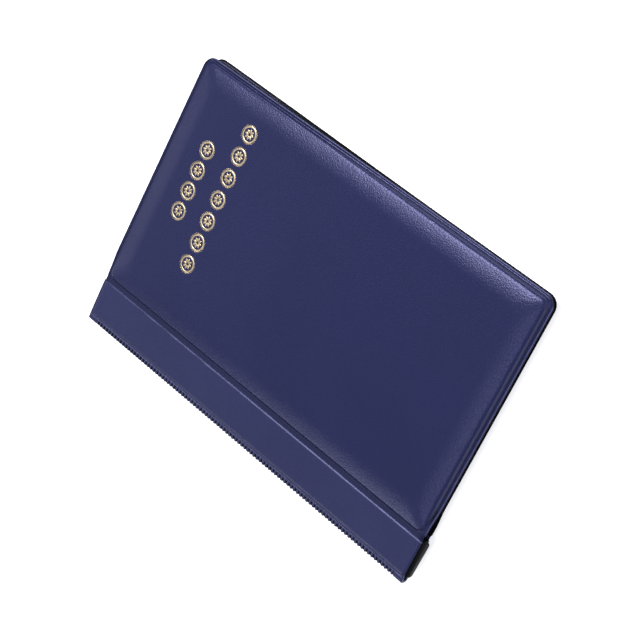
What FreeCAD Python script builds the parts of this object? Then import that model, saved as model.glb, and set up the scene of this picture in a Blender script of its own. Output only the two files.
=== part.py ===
import FreeCAD, Part
import Sketcher
import math
import os

# A pocket coin album: two padded vinyl covers hinged on weld grooves to a ribbed spine,
# with ten clear leaves of coin pockets rooted in a binding strip inside the spine.
#
# Frame: the album lies closed on its back cover. +X runs from the spine to the fore edge,
# +Y from the bottom edge to the top edge, +Z out of the front cover. The origin is the
# centre of the closed album's footprint, on the surface that it lies on.

doc = FreeCAD.newDocument("coin_album")

DIMENSIONS = [
    # covers
    ("cover_height", 170.0, "bottom edge to top edge"),
    ("cover_width", 96.3, "hinge groove to fore edge"),
    ("corner_radius", 4.5, "fore corners of the covers, in plan"),
    ("hinge_radius", 1.0, "corners beside the groove, in plan"),
    ("pad_radius", 3.0, "corners of the padded panel where it meets its rim, in plan"),
    ("crown_radius", 5.0, "corners of the padded panel's flat top, in plan"),
    ("vinyl", 0.4, "thickness of the blue outer vinyl"),
    ("lining", 0.3, "thickness of the black inner vinyl"),
    ("weld_width", 1.8, "flat welded rim round a cover"),
    ("board", 1.2, "thickness of the stiffening board"),
    ("board_run", 0.8, "how far the vinyl leans in over the board's height"),
    ("foam", 1.0, "thickness of the foam pad"),
    ("shoulder", 8.0, "width of the sloping edge of the padding"),
    ("lay_gap", 0.05, "room round the board and foam inside the vinyl"),
    # binding
    ("strip_width", 18.5, "outer face of the spine to the hinge axis"),
    ("groove_room", 0.8, "from the hinge axis to the cover, and to the strip"),
    ("spine_drop", 0.6, "how much a strip leans in from the groove to the spine"),
    ("bead_width", 0.8, "raised welding bead along the groove"),
    ("bead_rise", 0.25, "height of the bead above the strip"),
    ("spine_wall", 0.9, "thickness of the spine's vinyl, ribs included"),
    ("spine_edge", 1.0, "bevel along the spine's two long edges"),
    ("spine_wrap", 2.6, "how far the spine's ribs reach over the strips"),
    ("rib_pitch", 1.65, "spine rib to spine rib"),
    ("rib_groove", 0.8, "width of the groove between two ribs"),
    ("rib_depth", 0.4, "depth of the groove between two ribs"),
    ("plain_end", 4.5, "plain stretch at each end of the spine, without ribs"),
    ("core_inset", 0.6, "from the cover's ends to the binding core's ends"),
    # leaves
    ("leaf_count", 10.0, "leaves in the album"),
    ("leaf_pitch", 0.32, "leaf to leaf in the closed stack"),
    ("stack_room", 0.1, "between the stack of leaves and each lining"),
    ("leaf_sheet", 0.14, "thickness of a leaf's clear back sheet"),
    ("leaf_film", 0.1, "thickness of the film that makes the pockets"),
    ("leaf_margin", 5.0, "from a leaf's edges to the cover's edges"),
    ("leaf_radius", 3.0, "fore corners of a leaf, in plan"),
    ("tab_length", 3.8, "from the core to the top leaf's fold"),
    ("fold_step", 0.6, "how much further out each lower leaf folds"),
    ("fold_room", 0.3, "from a fold to the edge of its leaf"),
    ("pocket_rows", 4.0, "rows of pockets on a leaf"),
    ("pocket_mouth", 1.2, "gap at the open top of each row of pockets"),
    ("film_border", 1.0, "from a leaf's edges to its pocket film"),
    # foil stamped ornament
    ("foil", 0.06, "thickness of the stamped foil"),
    ("ring_radius", 3.7, "outer radius of a stamped coin ring"),
    ("ring_width", 0.9, "width of a stamped coin ring"),
    ("ornament_shift", 5.0, "the ornament's centre from the panel's middle, to the fore edge"),
    ("upper_row_drop", 19.2, "top edge of the cover to the upper row's centre"),
    ("upper_row_count", 4.0, "rings in the upper row"),
    ("upper_row_pitch", 8.6, "ring to ring in the upper row"),
    ("lower_row_drop", 33.2, "top edge of the cover to the lower row's centre"),
    ("lower_row_count", 7.0, "rings in the lower row"),
    ("lower_row_pitch", 9.1, "ring to ring in the lower row"),
]

sheet = doc.addObject("Spreadsheet::Sheet", "Sizes")
for row, (alias, number, meaning) in enumerate(DIMENSIONS, start=1):
    sheet.set(f"A{row}", alias)
    sheet.set(f"B{row}", str(number))
    sheet.set(f"C{row}", meaning)
    sheet.setAlias(f"B{row}", alias)
doc.recompute()


class Size:
    """A length: its number now, and the expression over the sheet that keeps it current."""

    def __init__(self, number, text):
        self.number = number
        self.text = text

    def __add__(self, other):
        return join(self, "+", other, self.number + number_of(other))

    def __sub__(self, other):
        return join(self, "-", other, self.number - number_of(other))

    def __mul__(self, other):
        return join(self, "*", other, self.number * number_of(other))

    def __rmul__(self, other):
        return self * other

    def __truediv__(self, other):
        return join(self, "/", other, self.number / number_of(other))

    def __neg__(self):
        return self * -1


def number_of(value):
    return value.number if isinstance(value, Size) else float(value)


def text_of(value):
    return value.text if isinstance(value, Size) else repr(float(value))


def whole(size):
    return Size(float(math.floor(size.number)), f"floor({size.text})")


def join(left, sign, right, number):
    return Size(number, f"({text_of(left)} {sign} {text_of(right)})")


def from_sheet(alias):
    return Size(float(sheet.get(alias)), f"Sizes.{alias}")


def bind(thing, name, value):
    """Sets a property that a recompute then keeps equal to its expression."""
    thing.setExpression(name, text_of(value))


# ---- Places worked out from the driving dimensions ----

cover_height = from_sheet("cover_height")
cover_width = from_sheet("cover_width")
vinyl = from_sheet("vinyl")
lining = from_sheet("lining")
board = from_sheet("board")
foam = from_sheet("foam")
weld_width = from_sheet("weld_width")
board_run = from_sheet("board_run")
shoulder = from_sheet("shoulder")
lay_gap = from_sheet("lay_gap")
strip_width = from_sheet("strip_width")
groove_room = from_sheet("groove_room")
leaf_count = from_sheet("leaf_count")
leaf_pitch = from_sheet("leaf_pitch")
leaf_sheet = from_sheet("leaf_sheet")
leaf_film = from_sheet("leaf_film")
leaf_margin = from_sheet("leaf_margin")

spine_x = -(strip_width + cover_width) / 2
groove_x = spine_x + strip_width
panel_x = groove_x + groove_room
fore_x = (strip_width + cover_width) / 2
bottom_y = -cover_height / 2
top_y = cover_height / 2

padding = board + foam
back_rim_z = padding
back_inside_z = back_rim_z + vinyl + lining
leaf_room = leaf_count * leaf_pitch + 2 * from_sheet("stack_room")
front_inside_z = back_inside_z + leaf_room
front_rim_z = front_inside_z + lining + vinyl
middle_z = (back_rim_z + front_rim_z) / 2
half_binding = (front_rim_z - back_rim_z) / 2

strip_x = groove_x - groove_room
wrap_x = spine_x + from_sheet("spine_wrap")
fold_x = strip_x + from_sheet("tab_length")
leaf_height = cover_height - 2 * leaf_margin
leaf_fore_x = fore_x - leaf_margin


# ---- Helpers: sketches and features on a body ----


def new_body(label, x=0, y=0, z=0):
    body = doc.addObject("PartDesign::Body", label)
    body.Label = label
    body.AllowCompound = True
    body.Placement = FreeCAD.Placement()
    for axis, value in zip("xyz", (x, y, z)):
        bind(body, f"Placement.Base.{axis}", value)
    return body


def origin_part(body, role):
    return next(o for o in body.Origin.OriginFeatures if o.Role == role)


def new_sketch(body, name, plane="XY_Plane", height=0):
    """A sketch on one of the body's own planes, lifted off it by height."""
    sketch = body.newObject("Sketcher::SketchObject", name)
    sketch.AttachmentSupport = [(origin_part(body, plane), "")]
    sketch.MapMode = "FlatFace"
    bind(sketch, "AttachmentOffset.Base.z", height)
    return sketch


def hold(sketch, kind, geometry, point, value, name):
    """Fixes one coordinate of a point, or a radius when point is None, to a size."""
    if point is None:
        index = sketch.addConstraint(Sketcher.Constraint(kind, geometry, number_of(value)))
    else:
        origin = (-1, 1)
        index = sketch.addConstraint(
            Sketcher.Constraint(kind, *origin, geometry, point, number_of(value))
        )
    sketch.renameConstraint(index, name)
    bind(sketch, f"Constraints.{name}", value)


def add_polygon(sketch, corners):
    """A closed outline with straight sides; each corner's two coordinates are sizes."""
    points = [FreeCAD.Vector(number_of(u), number_of(v), 0) for u, v in corners]
    count = len(points)
    for i in range(count):
        sketch.addGeometry(Part.LineSegment(points[i], points[(i + 1) % count]))
    for i in range(count):
        sketch.addConstraint(Sketcher.Constraint("Coincident", i, 2, (i + 1) % count, 1))
    for i, (u, v) in enumerate(corners):
        hold(sketch, "DistanceX", i, 1, u, f"across_{i}")
        hold(sketch, "DistanceY", i, 1, v, f"along_{i}")


def add_plan(sketch, low, high, near_radius, far_radius):
    """A rectangle in plan, rounded by near_radius at the groove side and far_radius at the fore side."""
    x0, y0 = (number_of(v) for v in low)
    x1, y1 = (number_of(v) for v in high)
    near, far = number_of(near_radius), number_of(far_radius)
    flat = FreeCAD.Vector
    sides = [
        (flat(x0 + near, y0, 0), flat(x1 - far, y0, 0)),
        (flat(x1, y0 + far, 0), flat(x1, y1 - far, 0)),
        (flat(x1 - far, y1, 0), flat(x0 + near, y1, 0)),
        (flat(x0, y1 - near, 0), flat(x0, y0 + near, 0)),
    ]
    corners = [
        (x1 - far, y0 + far, far, -90),
        (x1 - far, y1 - far, far, 0),
        (x0 + near, y1 - near, near, 90),
        (x0 + near, y0 + near, near, 180),
    ]
    for start, end in sides:
        sketch.addGeometry(Part.LineSegment(start, end))
    for x, y, radius, turn in corners:
        circle = Part.Circle(flat(x, y, 0), flat(0, 0, 1), radius)
        start = math.radians(turn)
        sketch.addGeometry(Part.ArcOfCircle(circle, start, start + math.pi / 2))
    for i in range(4):
        sketch.addConstraint(Sketcher.Constraint("Tangent", i, 2, 4 + i, 1))
        sketch.addConstraint(Sketcher.Constraint("Tangent", 4 + i, 2, (i + 1) % 4, 1))
    for i, kind in enumerate(("Horizontal", "Vertical", "Horizontal", "Vertical")):
        sketch.addConstraint(Sketcher.Constraint(kind, i))
    for i, radius in enumerate((far_radius, far_radius, near_radius, near_radius)):
        hold(sketch, "Radius", 4 + i, None, radius, f"radius_{i}")
    hold(sketch, "DistanceY", 0, 1, low[1], "bottom")
    hold(sketch, "DistanceX", 1, 1, high[0], "fore")
    hold(sketch, "DistanceY", 2, 1, high[1], "top")
    hold(sketch, "DistanceX", 3, 1, low[0], "near")


def pad(body, sketch, length, name="Pad"):
    feature = body.newObject("PartDesign::Pad", name)
    feature.Profile = sketch
    bind(feature, "Length", length)
    sketch.Visibility = False
    return feature


def loft(body, kind, sections, name):
    """A straight-sided loft, added or cut, through sketches at rising heights."""
    feature = body.newObject(f"PartDesign::{kind}", name)
    feature.Profile = sections[0]
    feature.Sections = sections[1:]
    feature.Ruled = True
    return feature


def repeat(body, feature, axis, step, count, name):
    """A row of one feature along one of the body's own axes."""
    pattern = body.newObject("PartDesign::LinearPattern", name)
    pattern.Originals = [feature]
    pattern.Direction = (origin_part(body, axis), [""])
    pattern.Mode = "Spacing"
    bind(pattern, "Offset", step)
    bind(pattern, "Occurrences", count)
    body.Tip = pattern
    return pattern


parts = []


def finished(body):
    parts.append(body)
    return body


def plate(label, low, high, radii, z, thickness):
    """A flat sheet with rounded corners."""
    body = new_body(label, z=z)
    sketch = new_sketch(body, f"{label}_plan")
    add_plan(sketch, low, high, *radii)
    pad(body, sketch, thickness)
    return finished(body)


def bar(label, profile, length, z):
    """A straight bar along Y: a profile in X and Z, half of its length each side of the middle."""
    body = new_body(label, z=z)
    sketch = new_sketch(body, f"{label}_profile", "XZ_Plane")
    add_polygon(sketch, profile)
    pad(body, sketch, length).Midplane = True
    return finished(body)


# ---- The two covers ----


def inset_plan(body, name, inset, radius, height):
    """A sketch of the cover's outline drawn in by inset, at a height over the cover's inside face."""
    sketch = new_sketch(body, name, height=height)
    low = (panel_x + inset, bottom_y + inset)
    high = (fore_x - inset, top_y - inset)
    add_plan(sketch, low, high, radius, radius)
    return sketch


def cover_body(label, inside_z, turned):
    """A body whose z runs outwards from the cover's inside face."""
    body = new_body(label)
    if turned:
        body.Placement.Rotation = FreeCAD.Rotation(FreeCAD.Vector(1, 0, 0), 180)
    bind(body, "Placement.Base.z", inside_z)
    return body


def full_plan(body, name, height):
    sketch = new_sketch(body, name, height=height)
    radii = (from_sheet("hinge_radius"), from_sheet("corner_radius"))
    add_plan(sketch, (panel_x, bottom_y), (fore_x, top_y), *radii)
    return sketch


def make_cover(side, inside_z, turned):
    """Lining, board, foam and padded vinyl skin, welded together along the rim."""
    pad_radius = from_sheet("pad_radius")
    crown_radius = from_sheet("crown_radius")
    knee = weld_width + board_run
    crown = knee + shoulder
    core_inset = knee + vinyl + lay_gap

    inner = cover_body(f"{side}_cover_lining", inside_z, turned)
    pad(inner, full_plan(inner, f"{side}_lining_plan", 0), lining)
    finished(inner)

    stiffener = cover_body(f"{side}_cover_board", inside_z, turned)
    outline = inset_plan(stiffener, f"{side}_board_plan", core_inset, pad_radius, lining)
    pad(stiffener, outline, board)
    finished(stiffener)

    cushion = cover_body(f"{side}_cover_foam", inside_z, turned)
    foot = inset_plan(cushion, f"{side}_foam_foot", core_inset, pad_radius, lining + board)
    top_inset = crown + vinyl + lay_gap
    top_height = lining + padding - lay_gap
    top = inset_plan(cushion, f"{side}_foam_top", top_inset, crown_radius, top_height)
    loft(cushion, "AdditiveLoft", [foot, top], f"{side}_foam_loft")
    finished(cushion)

    skin = cover_body(f"{side}_cover_skin", inside_z, turned)
    pad(skin, full_plan(skin, f"{side}_rim_plan", lining), vinyl)
    levels = (
        ("foot", weld_width, lining, pad_radius),
        ("knee", knee, lining + board, pad_radius),
        ("crown", crown, lining + padding, crown_radius),
    )
    outer = []
    hollow = []
    for name, inset, height, radius in levels:
        outer_name = f"{side}_{name}_outside"
        inner_name = f"{side}_{name}_inside"
        outer.append(inset_plan(skin, outer_name, inset, radius, height + vinyl))
        hollow.append(inset_plan(skin, inner_name, inset + vinyl, radius, height))
    loft(skin, "AdditiveLoft", outer, f"{side}_padded_panel")
    loft(skin, "SubtractiveLoft", hollow, f"{side}_padding_hollow")
    finished(skin)


make_cover("front", front_inside_z, turned=False)
make_cover("back", back_inside_z, turned=True)


# ---- The binding: strips, ribbed spine, linings, core and leaf tabs ----


def lean(x):
    """Height of a strip's outer face over the binding's middle, at a place across the strip."""
    return half_binding - from_sheet("spine_drop") * (strip_x - x) / (strip_x - spine_x)


def make_hinge_side(side, sign):
    """One strip of vinyl beside the groove, with its bead, and the black lining under it."""
    bead_x = strip_x - from_sheet("bead_width")
    bead_top = half_binding + from_sheet("bead_rise")
    strip = [
        (wrap_x, sign * (lean(wrap_x) - vinyl)),
        (strip_x, sign * (half_binding - vinyl)),
        (strip_x, sign * bead_top),
        (bead_x, sign * bead_top),
        (bead_x, sign * lean(bead_x)),
        (wrap_x, sign * lean(wrap_x)),
    ]
    bar(f"{side}_hinge_strip", strip, cover_height, middle_z)
    under = vinyl + lining
    layer = [
        (wrap_x, sign * (lean(wrap_x) - under)),
        (strip_x, sign * (half_binding - under)),
        (strip_x, sign * (half_binding - vinyl)),
        (wrap_x, sign * (lean(wrap_x) - vinyl)),
    ]
    bar(f"{side}_hinge_lining", layer, cover_height, middle_z)


def mirrored(upper):
    """An outline from its points above the binding's middle, run left to right."""
    return upper + [(x, -z) for x, z in reversed(upper)]


def make_ribbed_spine():
    """A C of thick vinyl round the spine, cut across its length into fine ribs."""
    wall = from_sheet("spine_wall")
    edge = from_sheet("spine_edge")
    depth = from_sheet("rib_depth")
    margin = from_sheet("plain_end")
    pitch = from_sheet("rib_pitch")
    groove = from_sheet("rib_groove")
    outside = [
        (spine_x, lean(spine_x) - edge),
        (spine_x + edge, lean(spine_x + edge)),
        (wrap_x, lean(wrap_x)),
    ]
    inside = [
        (wrap_x, lean(wrap_x) - wall),
        (spine_x + wall, lean(spine_x + wall) - wall),
    ]
    upper = outside + inside
    lower = [(x, -z) for x, z in reversed(upper)]
    spine = bar("ribbed_spine", upper + lower, cover_height, middle_z)

    clear = wall + edge
    cut_upper = [
        (spine_x - clear, lean(spine_x) + clear),
        (wrap_x, lean(wrap_x) + clear),
        (wrap_x, lean(wrap_x) - depth),
        (spine_x + edge, lean(spine_x + edge) - depth),
        (spine_x + depth, lean(spine_x) - edge),
    ]
    cut_lower = [(x, -z) for x, z in reversed(cut_upper)]
    sketch = new_sketch(spine, "rib_groove_profile", "XZ_Plane", top_y - margin)
    add_polygon(sketch, cut_upper + cut_lower)
    doc.recompute()
    cut = spine.newObject("PartDesign::Pocket", "rib_groove_cut")
    cut.Profile = sketch
    cut.Midplane = True
    bind(cut, "Length", groove)
    count = whole((cover_height - 2 * margin) / pitch) + 1
    repeat(spine, cut, "Y_Axis", pitch, count, "rib_grooves")


def make_core():
    """The black strip that the leaves' roots are welded into."""
    under = vinyl + lining
    upper = [(wrap_x, lean(wrap_x) - under), (strip_x, half_binding - under)]
    length = cover_height - 2 * from_sheet("core_inset")
    bar("binding_core", mirrored(upper), length, middle_z)


def leaf_level(number):
    """Underside of a leaf in the closed stack; leaf 1 is the lowest."""
    return back_inside_z + from_sheet("stack_room") + (number - 1) * leaf_pitch


def fold_place(number):
    """Where a leaf folds; each leaf folds a step further out than the one above it."""
    return fold_x + (leaf_count - number) * from_sheet("fold_step")


def make_tabs(count):
    """The roots of the leaves, from the core to each leaf's fold."""
    body = new_body("leaf_tabs")
    for number in range(1, count + 1):
        sketch = new_sketch(body, f"tab_{number}_plan", height=leaf_level(number))
        low, high = -leaf_height / 2, leaf_height / 2
        reach = fold_place(number)
        add_polygon(sketch, [(strip_x, low), (reach, low), (reach, high), (strip_x, high)])
        pad(body, sketch, leaf_sheet, f"tab_{number}")
    finished(body)


make_hinge_side("front", 1)
make_hinge_side("back", -1)
make_ribbed_spine()
make_core()
leaf_total = round(leaf_count.number)
make_tabs(leaf_total)


# ---- The leaves ----


def make_leaf(number):
    """A clear back sheet, and the film welded over it in rows of open-topped pockets."""
    near_x = fold_place(number) + from_sheet("fold_room")
    low = (near_x, -leaf_height / 2)
    high = (leaf_fore_x, leaf_height / 2)
    radii = (from_sheet("fold_room"), from_sheet("leaf_radius"))
    label = f"leaf_{number:02d}"
    plate(f"{label}_sheet", low, high, radii, leaf_level(number), leaf_sheet)

    border = from_sheet("film_border")
    mouth = from_sheet("pocket_mouth")
    rows = from_sheet("pocket_rows")
    step = (leaf_height - 2 * border) / rows
    x0, x1 = near_x + border, leaf_fore_x - border
    y0 = border - leaf_height / 2
    y1 = y0 + step - mouth
    pockets = new_body(f"{label}_pockets", z=leaf_level(number) + leaf_sheet)
    sketch = new_sketch(pockets, f"{label}_row_plan")
    add_polygon(sketch, [(x0, y0), (x1, y0), (x1, y1), (x0, y1)])
    row = pad(pockets, sketch, leaf_film, f"{label}_row")
    repeat(pockets, row, "Y_Axis", step, rows, f"{label}_rows")
    finished(pockets)


for leaf_number in range(1, leaf_total + 1):
    make_leaf(leaf_number)


# ---- The stamped ornament on the front cover ----


def make_foil_row(label, drop, count, pitch):
    """A row of stamped rings, centred over the panel's middle plus the ornament's shift."""
    body = new_body(label, z=front_rim_z + padding)
    middle_x = (panel_x + fore_x) / 2 + from_sheet("ornament_shift")
    first_x = middle_x - (count - 1) * pitch / 2
    row_y = top_y - drop
    outer = from_sheet("ring_radius")
    inner = outer - from_sheet("ring_width")
    sketch = new_sketch(body, f"{label}_ring")
    for index, radius in enumerate((outer, inner)):
        centre = FreeCAD.Vector(first_x.number, row_y.number, 0)
        sketch.addGeometry(Part.Circle(centre, FreeCAD.Vector(0, 0, 1), radius.number))
        hold(sketch, "DistanceX", index, 3, first_x, f"centre_x_{index}")
        hold(sketch, "DistanceY", index, 3, row_y, f"centre_y_{index}")
        hold(sketch, "Radius", index, None, radius, f"radius_{index}")
    ring = pad(body, sketch, from_sheet("foil"))
    repeat(body, ring, "X_Axis", pitch, count, f"{label}_rings")
    finished(body)


for row_name in ("upper", "lower"):
    make_foil_row(
        f"foil_{row_name}_row",
        from_sheet(f"{row_name}_row_drop"),
        from_sheet(f"{row_name}_row_count"),
        from_sheet(f"{row_name}_row_pitch"),
    )

doc.recompute()


# ---- Checks, then one file for each piece ----

for thing in doc.Objects:
    if "Invalid" in thing.State or "Error" in thing.State:
        raise RuntimeError(f"{thing.Label} failed to build: {thing.State}")

for body in parts:
    if body.Shape.isNull() or not body.Shape.isValid():
        raise RuntimeError(f"{body.Label} has no valid shape")

os.makedirs("parts", exist_ok=True)
for body in parts:
    body.Shape.exportStep(f"parts/{body.Label}.step")
    print(f"{body.Label}: {len(body.Shape.Solids)} solids, {body.Shape.Volume:.1f} mm3")
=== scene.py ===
# %% [markdown]
# # A pocket coin album
#
# The album is two padded vinyl covers, welded to a strip with a ribbed spine, over ten clear
# leaves of coin pockets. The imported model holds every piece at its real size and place. This
# script gives each visible piece its real surface: the rolled padding, the welded rims, the
# ribs, the clear film, and the finish of each material.

# %% The frame
import bmesh
import bpy
import math
from mathutils import Matrix, Vector, noise


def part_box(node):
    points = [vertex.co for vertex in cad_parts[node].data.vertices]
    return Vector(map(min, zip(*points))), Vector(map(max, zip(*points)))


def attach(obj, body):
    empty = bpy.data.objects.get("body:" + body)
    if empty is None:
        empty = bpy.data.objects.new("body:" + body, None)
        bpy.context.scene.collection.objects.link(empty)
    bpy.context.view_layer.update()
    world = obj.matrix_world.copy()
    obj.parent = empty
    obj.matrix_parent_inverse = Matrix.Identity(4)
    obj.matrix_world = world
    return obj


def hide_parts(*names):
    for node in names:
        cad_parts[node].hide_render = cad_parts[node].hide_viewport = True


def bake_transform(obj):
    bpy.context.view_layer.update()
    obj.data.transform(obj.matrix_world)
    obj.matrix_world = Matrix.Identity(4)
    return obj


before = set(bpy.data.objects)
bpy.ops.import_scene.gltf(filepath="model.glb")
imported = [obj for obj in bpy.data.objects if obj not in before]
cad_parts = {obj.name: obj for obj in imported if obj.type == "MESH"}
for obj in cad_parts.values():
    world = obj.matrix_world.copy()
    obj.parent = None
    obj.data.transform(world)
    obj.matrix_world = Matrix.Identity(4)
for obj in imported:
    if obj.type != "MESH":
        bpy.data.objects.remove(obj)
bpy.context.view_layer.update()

MM = 0.001

# %% [markdown]
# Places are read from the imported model, never typed in again. The two grooves lie between the
# hinge strips and the covers, and everything on the covers is measured from there.

# %% Places on the album
skin_low, skin_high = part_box("front_cover_skin")
back_skin_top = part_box("back_cover_skin")[1].z
front_lining_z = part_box("front_cover_lining")[0].z
back_lining_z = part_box("back_cover_lining")[1].z
strip_low, strip_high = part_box("front_hinge_strip")
core_low, core_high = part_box("binding_core")

panel_x, fore_x = skin_low.x, skin_high.x
bottom_y, top_y = skin_low.y, skin_high.y
strip_x = strip_high.x
wrap_x = strip_low.x
spine_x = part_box("ribbed_spine")[0].x
groove_x = (strip_x + panel_x) / 2

VINYL = 0.4 * MM
front_rim_z = skin_low.z + VINYL
back_rim_z = back_skin_top - VINYL
middle_z = (front_rim_z + back_rim_z) / 2
padding = skin_high.z - front_rim_z
print("rim to rim, mm:", round((front_rim_z - back_rim_z) / MM, 2))

# %% [markdown]
# Every colour below is written the way a paint chart or a web page gives it, as an sRGB hex
# value. Blender mixes light in linear values, so one function turns the first into the second.
# A second small function adds a node, sets it and links it, and serves shaders and geometry
# alike.


# %% Colour and node helpers
def linear(hex_value):
    """An sRGB hex colour as the linear numbers that a shader takes."""
    channels = [int(hex_value[i:i + 2], 16) / 255 for i in (1, 3, 5)]
    bright = [c / 12.92 if c <= 0.04045 else ((c + 0.055) / 1.055) ** 2.4 for c in channels]
    return (*bright, 1.0)


def add_node(tree, kind, inputs=None, **settings):
    """A node with its settings, and each input set to a value or linked to another's output."""
    node = tree.nodes.new(kind)
    for name, value in settings.items():
        setattr(node, name, value)
    for name, value in (inputs or {}).items():
        if isinstance(value, bpy.types.NodeSocket):
            tree.links.new(value, node.inputs[name])
        else:
            node.inputs[name].default_value = value
    return node


def new_material(name, **principled):
    """A material with its shader's own values set on its sockets, and its tree to add to."""
    material = bpy.data.materials.new(name)
    material.use_nodes = True
    shader = material.node_tree.nodes["Principled BSDF"]
    for socket, value in principled.items():
        shader.inputs[socket.replace("_", " ")].default_value = value
    return material, material.node_tree, shader


def set_stops(ramp, *stops):
    """Gives a colour ramp its two stops, as (position, sRGB hex colour) pairs."""
    for element, (position, colour) in zip(ramp.color_ramp.elements, stops):
        element.position = position
        element.color = linear(colour)


def per_metre(size):
    """A texture's scale for a pattern whose features are this size, in metres."""
    return 1 / size


print("a middle grey, #808080, is", round(linear("#808080")[0], 3), "in linear light")

# %% [markdown]
# ## The vinyl
#
# The covers are plasticised PVC sheet, calendered and embossed with a fine leather pebble. The
# emboss gives a soft, slightly broken sheen along anything that curves, and the pigment is
# even, so the colour barely varies. A Voronoi pattern makes the pebbles, a finer noise breaks
# their tops, and a wide noise gives the slow waves that a padded sheet always has. The real
# pebble is about 0.3 mm across, too fine to show from where the camera stands, so it is drawn
# at 0.5 mm.

# %% Vinyl materials
PEBBLE = 0.5 * MM
PEBBLE_DEPTH = 0.07 * MM
WAVE = 22 * MM
WAVE_DEPTH = 0.25 * MM


def pebble_bump(tree, shader, pebble, depth, wave_depth):
    """Leather pebbles on top of slow waves, as the shader's normal."""
    place = add_node(tree, "ShaderNodeTexCoord").outputs["Object"]
    warp = add_node(tree, "ShaderNodeTexNoise", {
        "Vector": place, "Scale": per_metre(pebble * 3), "Detail": 2.0})
    shifted = add_node(tree, "ShaderNodeVectorMath", {
        0: warp.outputs["Color"], 1: (pebble, pebble, pebble), 2: place},
        operation="MULTIPLY_ADD")
    cells = add_node(tree, "ShaderNodeTexVoronoi", {
        "Vector": shifted.outputs["Vector"], "Scale": per_metre(pebble), "Smoothness": 0.6},
        feature="SMOOTH_F1")
    fine = add_node(tree, "ShaderNodeTexNoise", {
        "Vector": place, "Scale": per_metre(pebble * 0.6), "Detail": 3.0, "Roughness": 0.6})
    waves = add_node(tree, "ShaderNodeTexNoise", {
        "Vector": place, "Scale": per_metre(WAVE), "Detail": 1.5})
    slow = add_node(tree, "ShaderNodeBump", {
        "Height": waves.outputs["Fac"], "Distance": wave_depth, "Strength": 0.6})
    broken = add_node(tree, "ShaderNodeBump", {
        "Height": fine.outputs["Fac"], "Distance": depth * 0.5, "Strength": 0.6,
        "Normal": slow.outputs["Normal"]})
    pebbles = add_node(tree, "ShaderNodeBump", {
        "Height": cells.outputs["Distance"], "Distance": depth, "Strength": 0.75,
        "Normal": broken.outputs["Normal"]}, invert=True)
    tree.links.new(pebbles.outputs["Normal"], shader.inputs["Normal"])
    return place, cells.outputs["Distance"], fine.outputs["Fac"]


def vinyl_material(name, deep, usual, worn_and_lit, rough, gloss=0.38, sheen="#C8C8FF",
                   groove_shade_colour="#07081A"):
    """Embossed PVC: even pigment, with painted shade in the pebble pits and the weld grooves, and
    paler crests from wear and a painted highlight.
    """
    material, tree, shader = new_material(
        name, IOR=1.52, Specular_IOR_Level=gloss, Specular_Tint=linear(sheen))
    place, cells, fine = pebble_bump(tree, shader, PEBBLE, PEBBLE_DEPTH, WAVE_DEPTH)
    mottle = add_node(tree, "ShaderNodeTexNoise", {
        "Vector": place, "Scale": per_metre(35 * MM), "Detail": 3.0, "Roughness": 0.55})
    pigment = add_node(tree, "ShaderNodeValToRGB", {"Fac": mottle.outputs["Fac"]})
    set_stops(pigment, (0.3, deep), (0.7, usual))
    # partly wear, partly painted highlight: crests marked by this attribute are mixed towards the
    # pale colour
    wear_and_highlight = add_node(tree, "ShaderNodeAttribute", attribute_name="wear_and_highlight")
    scuffs = add_node(tree, "ShaderNodeTexNoise", {
        "Vector": place, "Scale": per_metre(4 * MM), "Detail": 4.0, "Roughness": 0.7})
    scuffed_and_highlit = add_node(tree, "ShaderNodeMath", {
        0: wear_and_highlight.outputs["Fac"], 1: scuffs.outputs["Fac"]}, operation="MULTIPLY")
    # painted shade: the low pits between the pebbles are mixed towards the deep colour
    pit_shade = add_node(tree, "ShaderNodeMapRange", {"Value": cells, "To Min": 0.0, "To Max": 0.25})
    # painted shade: the weld grooves marked by this attribute are mixed towards a near-black navy
    groove_shade = add_node(tree, "ShaderNodeAttribute", attribute_name="groove_shade")
    colour = pigment.outputs["Color"]
    for amount, paint in ((scuffed_and_highlit.outputs["Value"], worn_and_lit), (pit_shade.outputs["Result"], deep),
                          (groove_shade.outputs["Fac"], groove_shade_colour)):
        # a Mix node keeps its colour sockets at 6 and 7, and its colour output at 2
        colour = add_node(tree, "ShaderNodeMix", {0: amount, 6: colour, 7: linear(paint)},
                          data_type="RGBA").outputs[2]
    tree.links.new(colour, shader.inputs["Base Color"])
    gloss_breaks = add_node(tree, "ShaderNodeMapRange", {
        "Value": fine, "To Min": rough - 0.06, "To Max": rough + 0.08})
    tree.links.new(gloss_breaks.outputs["Result"], shader.inputs["Roughness"])
    return material


navy_vinyl = vinyl_material("embossed_navy_pvc", "#131737", "#15193B", "#6A70A8", 0.31)
strip_vinyl = vinyl_material("smooth_navy_pvc", "#1B1E3D", "#1F2242", "#7E84B4", 0.38)
# painted highlight: the ribs take a paler copy of the navy vinyl, for the light on their crests
lit_rib_vinyl = vinyl_material("highlit_ribbed_navy_pvc", "#282B48", "#303352", "#5C5F84", 0.4)
valley_vinyl = vinyl_material("shaded_navy_pvc", "#04050F", "#070817", "#14173A", 0.75,
                              gloss=0.08)
# painted shade: the web down in the groove takes a darker copy of the navy vinyl
groove_shade_vinyl = vinyl_material("groove_shade_navy_pvc", "#0F122D", "#131633", "#1A1E48", 0.52,
                              gloss=0.28)
black_vinyl = vinyl_material("embossed_black_pvc", "#050506", "#08080A", "#1A1A20", 0.5,
                             gloss=0.08, sheen="#F0F0FF", groove_shade_colour="#020203")
print("vinyl: pebble", round(PEBBLE / MM, 2), "mm, waves", round(WAVE / MM), "mm")

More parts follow.
